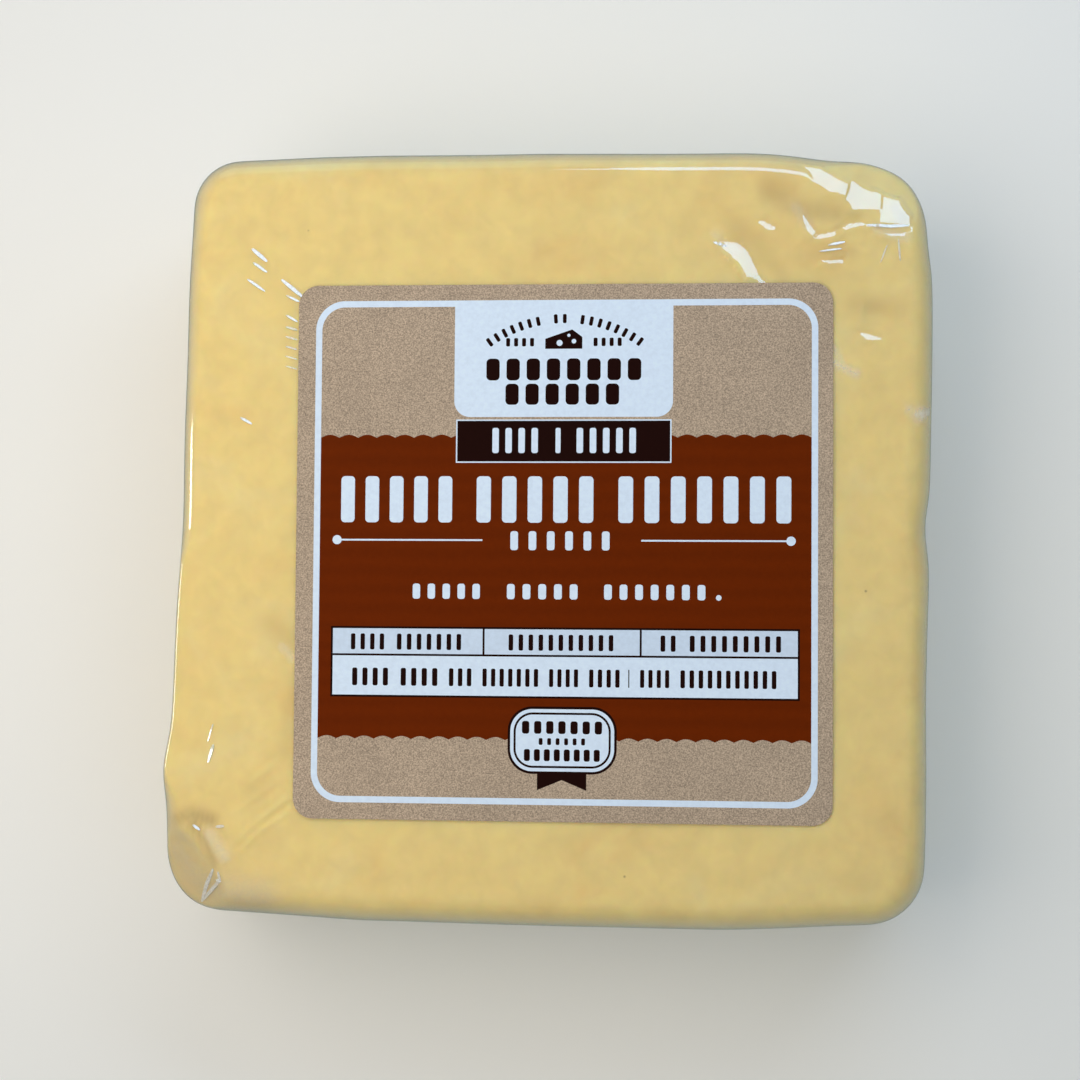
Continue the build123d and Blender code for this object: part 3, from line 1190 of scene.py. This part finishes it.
class BuildStage(bpy.types.Operator):
    """Make the floor, the lights and the camera"""

    bl_idname = "cheddar.build_stage"
    bl_label = "Stage"

    def execute(self, context):
        scene = context.scene
        scene.view_settings.view_transform = "Standard"
        reach = 2500
        corners = [(-reach, -reach, 0), (reach, -reach, 0), (reach, reach, 0), (-reach, reach, 0)]
        floor = add_mesh_object("floor", corners, [(0, 1, 2, 3)], [matt_board()])
        floor.visible_glossy = False  # so that the film mirrors the even dome instead
        scene.world = studio_dome()
        for softbox in SOFTBOXES:
            add_softbox(*softbox)
        add_camera(scene)
        return {"FINISHED"}


def studio_dome():
    """An even dome of light, brightest overhead."""
    world = bpy.data.worlds.new("Studio dome")
    world.use_nodes = True
    tree = world.node_tree
    tree.nodes.clear()
    way = add_node(tree, "TexCoord", "Generated")
    height = add_node(tree, "SeparateXYZ", "Z", {"Vector": way})
    sockets = {"Value": height, "From Min": -1.0, "From Max": 1.0}
    share = add_node(tree, "MapRange", "Result", sockets)
    stops = [(0.0, "#B4BCAC"), (0.46, "#BCC6B8"), (0.52, "#B4C2B8"), (1.0, "#F2FAFF")]
    stops = [(position, linear(colour)) for position, colour in stops]
    light = add_node(tree, "ValToRGB", "Color", {"Fac": share}, stops)
    background = add_node(tree, "Background", "Background", {"Color": light, "Strength": 0.46})
    add_node(tree, "OutputWorld", None, {"Surface": background})
    return world


# Softboxes: name, colour, azimuth, rise, distance, width, height, power, and the one kind of ray
# that meets them, as if the lamp and the lens each had a polariser
SOFTBOXES = (
    ("Sky window", "#9CCBFF", 64.5, 42, 430, 330, 95, 0.60, "glossy"),
    ("Left strip", "#FFFDF2", 179, 16, 450, 102, 90, 0.30, "glossy"),
    ("Far card", "#CFFFD0", 85, 17, 450, 800, 260, 0.38, "glossy"),
    ("Far softbox", "#DCECFF", 68, 42, 300, 260, 95, 0.25, "diffuse"),
    ("Left softbox", "#FFEFDA", 171, 60, 190, 220, 170, 0.235, "diffuse"),
    ("Low card", "#EEF6FF", -40, 14, 380, 520, 120, 0.15, "diffuse"),
)


def add_softbox(name, colour, azimuth, rise, distance, width, height, power, rays):
    """A rectangular softbox facing the block's head. azimuth and rise say where it stands."""
    lamp = bpy.data.lights.new(name, "AREA")
    lamp.shape = "RECTANGLE"
    lamp.color = linear(colour)[:3]
    lamp.size, lamp.size_y = width * MM, height * MM
    lamp.energy = power
    box = bpy.data.objects.new(name, lamp)
    box.visible_glossy = rays == "glossy"
    box.visible_diffuse = rays == "diffuse"
    level = cos(radians(rise))
    way = Vector((level * cos(radians(azimuth)), level * sin(radians(azimuth)), sin(radians(rise))))
    box.location = Vector((0, 0, HEAD * MM)) + way * distance * MM
    box.rotation_euler = way.to_track_quat("Z", "Y").to_euler()
    bpy.context.scene.collection.objects.link(box)


def add_camera(scene):
    """The camera, almost straight above the block and looking at its middle."""
    label = Vector((*LABEL_MIDDLE, HEAD))
    from_label = Vector((18.85, -10.21, 249.1))
    aim = Vector((-2.58, 1.37, 0.0))
    upwards = Vector((-0.0075, 1.0, 0.0))
    view = (aim - from_label).normalized()
    right = view.cross(upwards).normalized()
    camera = bpy.data.objects.new("Camera", bpy.data.cameras.new("Camera"))
    camera.data.lens = scene.stage_settings.lens
    camera.data.clip_start = 0.01
    camera.location = (label + from_label) * MM
    camera.rotation_euler = Matrix((right, right.cross(view), -view)).transposed().to_euler()
    scene.collection.objects.link(camera)
    scene.camera = camera


class CheddarPanel(bpy.types.Panel):
    """Buttons that build each piece, and the sizes and colours they use"""

    bl_idname = "VIEW3D_PT_cheddar"
    bl_label = "Film-sealed cheddar"
    bl_space_type = "VIEW_3D"
    bl_region_type = "UI"
    bl_category = "Cheddar"

    def draw(self, context):
        for operator in OPERATORS:
            self.layout.operator(operator.bl_idname)
        for name in SETTINGS:
            group = getattr(context.scene, name)
            box = self.layout.box()
            for key in group.__annotations__:
                box.prop(group, key)


OPERATORS = (BuildCheese, BuildFilm, BuildLabel, BuildStage)
SETTINGS = {
    "wrap_settings": WrapSettings,
    "cheese_settings": CheeseSettings,
    "label_settings": LabelSettings,
    "stage_settings": StageSettings,
}


def register():
    """Register the classes and hang the settings on the scene."""
    for cls in (*SETTINGS.values(), *OPERATORS, CheddarPanel):
        bpy.utils.register_class(cls)
    for name, group in SETTINGS.items():
        setattr(bpy.types.Scene, name, bpy.props.PointerProperty(type=group))


def unregister():
    """Undo register."""
    for name in SETTINGS:
        delattr(bpy.types.Scene, name)
    for cls in reversed((*SETTINGS.values(), *OPERATORS, CheddarPanel)):
        bpy.utils.unregister_class(cls)


def main():
    """Build every piece."""
    register()
    bpy.ops.cheddar.build_cheese()
    bpy.ops.cheddar.build_film()
    bpy.ops.cheddar.build_label()
    bpy.ops.cheddar.build_stage()


if __name__ == "__main__":
    main()
